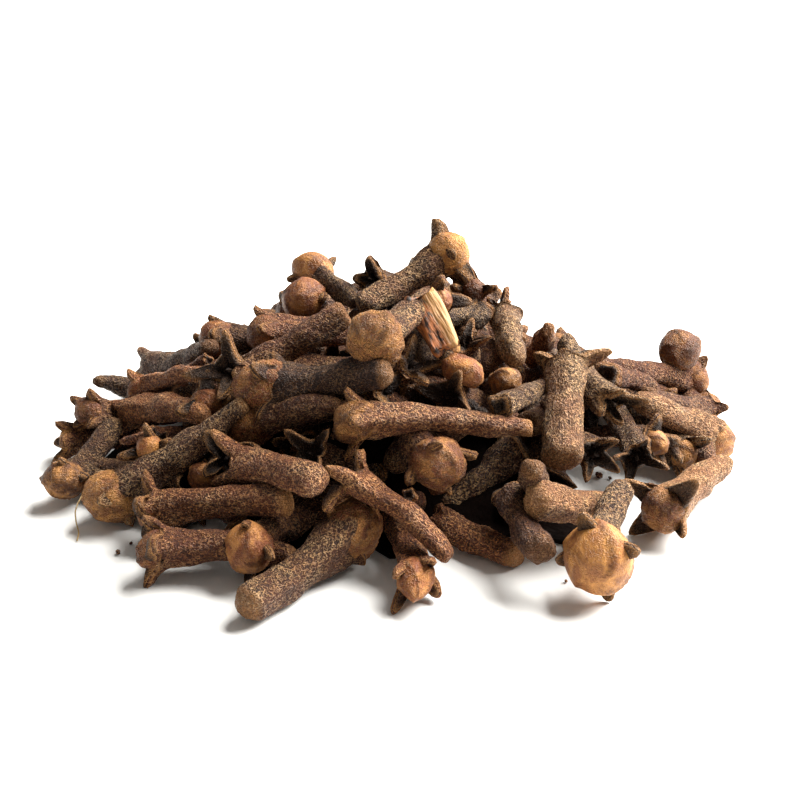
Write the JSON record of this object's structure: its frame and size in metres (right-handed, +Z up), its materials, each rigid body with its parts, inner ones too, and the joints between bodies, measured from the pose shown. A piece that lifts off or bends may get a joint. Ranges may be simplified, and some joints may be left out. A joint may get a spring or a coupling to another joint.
{
  "type": "heap of whole cloves",
  "caption": "Loose low heap of whole dried cloves, lying as poured on a flat surface.",
  "frame": {"origin": "middle of the heap's footprint, on the surface it lies on", "axes": "+Z up, +X along the heap's longest extent, to the right as seen from the front, +Y to the back"},
  "size_m": [0.0578, 0.056, 0.0202],
  "materials": {
    "clove": "rough"
  },
  "bodies": {
    "root": {"clove_heap": "clove"}
  },
  "joints": []
}
